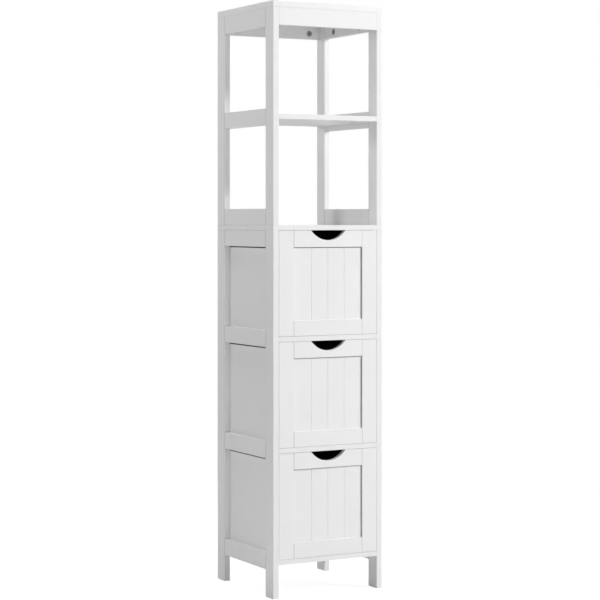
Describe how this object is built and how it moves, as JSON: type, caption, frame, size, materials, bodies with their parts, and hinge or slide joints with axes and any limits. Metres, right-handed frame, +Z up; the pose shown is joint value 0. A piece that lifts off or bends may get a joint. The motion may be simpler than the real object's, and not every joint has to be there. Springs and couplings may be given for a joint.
{
  "type": "bathroom storage tower",
  "caption": "Tall narrow freestanding bathroom tower with open shelves above drawers that have framed, grooved fronts and finger cut-outs.",
  "frame": {"origin": "on the floor, under the middle of the tower's footprint", "axes": "+Z up, -Y towards the front where the drawers open, +X to the right seen from the front"},
  "size_m": [0.3, 0.3, 1.42],
  "materials": {
    "white_paint": "semi-gloss white paint on smooth board",
    "white_sheet": "semi-gloss white paint on thin fibreboard",
    "drawer_board": "satin white coated board",
    "bare_wood": "bare fluted beech",
    "zinc": "die-cast zinc, satin",
    "steel": "bright plated steel"
  },
  "bodies": {
    "cabinet": {"top_board": "white_paint", "top_front_rail": "white_paint", "top_rear_rail": "white_paint", "upper_left_front_stile": "white_paint", "upper_left_rear_stile": "white_paint", "upper_right_front_stile": "white_paint", "upper_right_rear_stile": "white_paint", "left_top_rail": "white_paint", "left_shelf_rail": "white_paint", "left_upper_base_rail": "white_paint", "right_top_rail": "white_paint", "right_shelf_rail": "white_paint", "right_upper_base_rail": "white_paint", "shelf_board": "white_paint", "deck_board": "white_paint", "upper_divider": "white_paint", "lower_divider": "white_paint", "base_board": "white_paint", "left_front_leg": "white_paint", "left_rear_leg": "white_paint", "right_front_leg": "white_paint", "right_rear_leg": "white_paint", "left_deck_rail": "white_paint", "left_upper_divider_rail": "white_paint", "left_lower_divider_rail": "white_paint", "left_base_rail": "white_paint", "right_deck_rail": "white_paint", "right_upper_divider_rail": "white_paint", "right_lower_divider_rail": "white_paint", "right_base_rail": "white_paint", "left_side_sheets": "white_sheet", "right_side_sheets": "white_sheet", "back_sheet": "white_sheet", "dowels": "bare_wood", "cam_locks": "zinc", "cam_bolts": "steel"},
    "upper_drawer": {"upper_drawer_front_stiles": "white_paint", "upper_drawer_front_top": "white_paint", "upper_drawer_front_bottom": "white_paint", "upper_drawer_panel": "white_paint", "upper_drawer_left_side": "drawer_board", "upper_drawer_right_side": "drawer_board", "upper_drawer_back": "drawer_board", "upper_drawer_bottom": "white_sheet"},
    "middle_drawer": {"middle_drawer_front_stiles": "white_paint", "middle_drawer_front_top": "white_paint", "middle_drawer_front_bottom": "white_paint", "middle_drawer_panel": "white_paint", "middle_drawer_left_side": "drawer_board", "middle_drawer_right_side": "drawer_board", "middle_drawer_back": "drawer_board", "middle_drawer_bottom": "white_sheet"},
    "lower_drawer": {"lower_drawer_front_stiles": "white_paint", "lower_drawer_front_top": "white_paint", "lower_drawer_front_bottom": "white_paint", "lower_drawer_panel": "white_paint", "lower_drawer_left_side": "drawer_board", "lower_drawer_right_side": "drawer_board", "lower_drawer_back": "drawer_board", "lower_drawer_bottom": "white_sheet"}
  },
  "joints": [
    {"name": "upper_drawer_slide", "type": "slide", "parent": "cabinet", "child": "upper_drawer", "axis": [0, -1, 0], "range_m": [0, 0.2]},
    {"name": "middle_drawer_slide", "type": "slide", "parent": "cabinet", "child": "middle_drawer", "axis": [0, -1, 0], "range_m": [0, 0.2]},
    {"name": "lower_drawer_slide", "type": "slide", "parent": "cabinet", "child": "lower_drawer", "axis": [0, -1, 0], "range_m": [0, 0.2]}
  ]
}
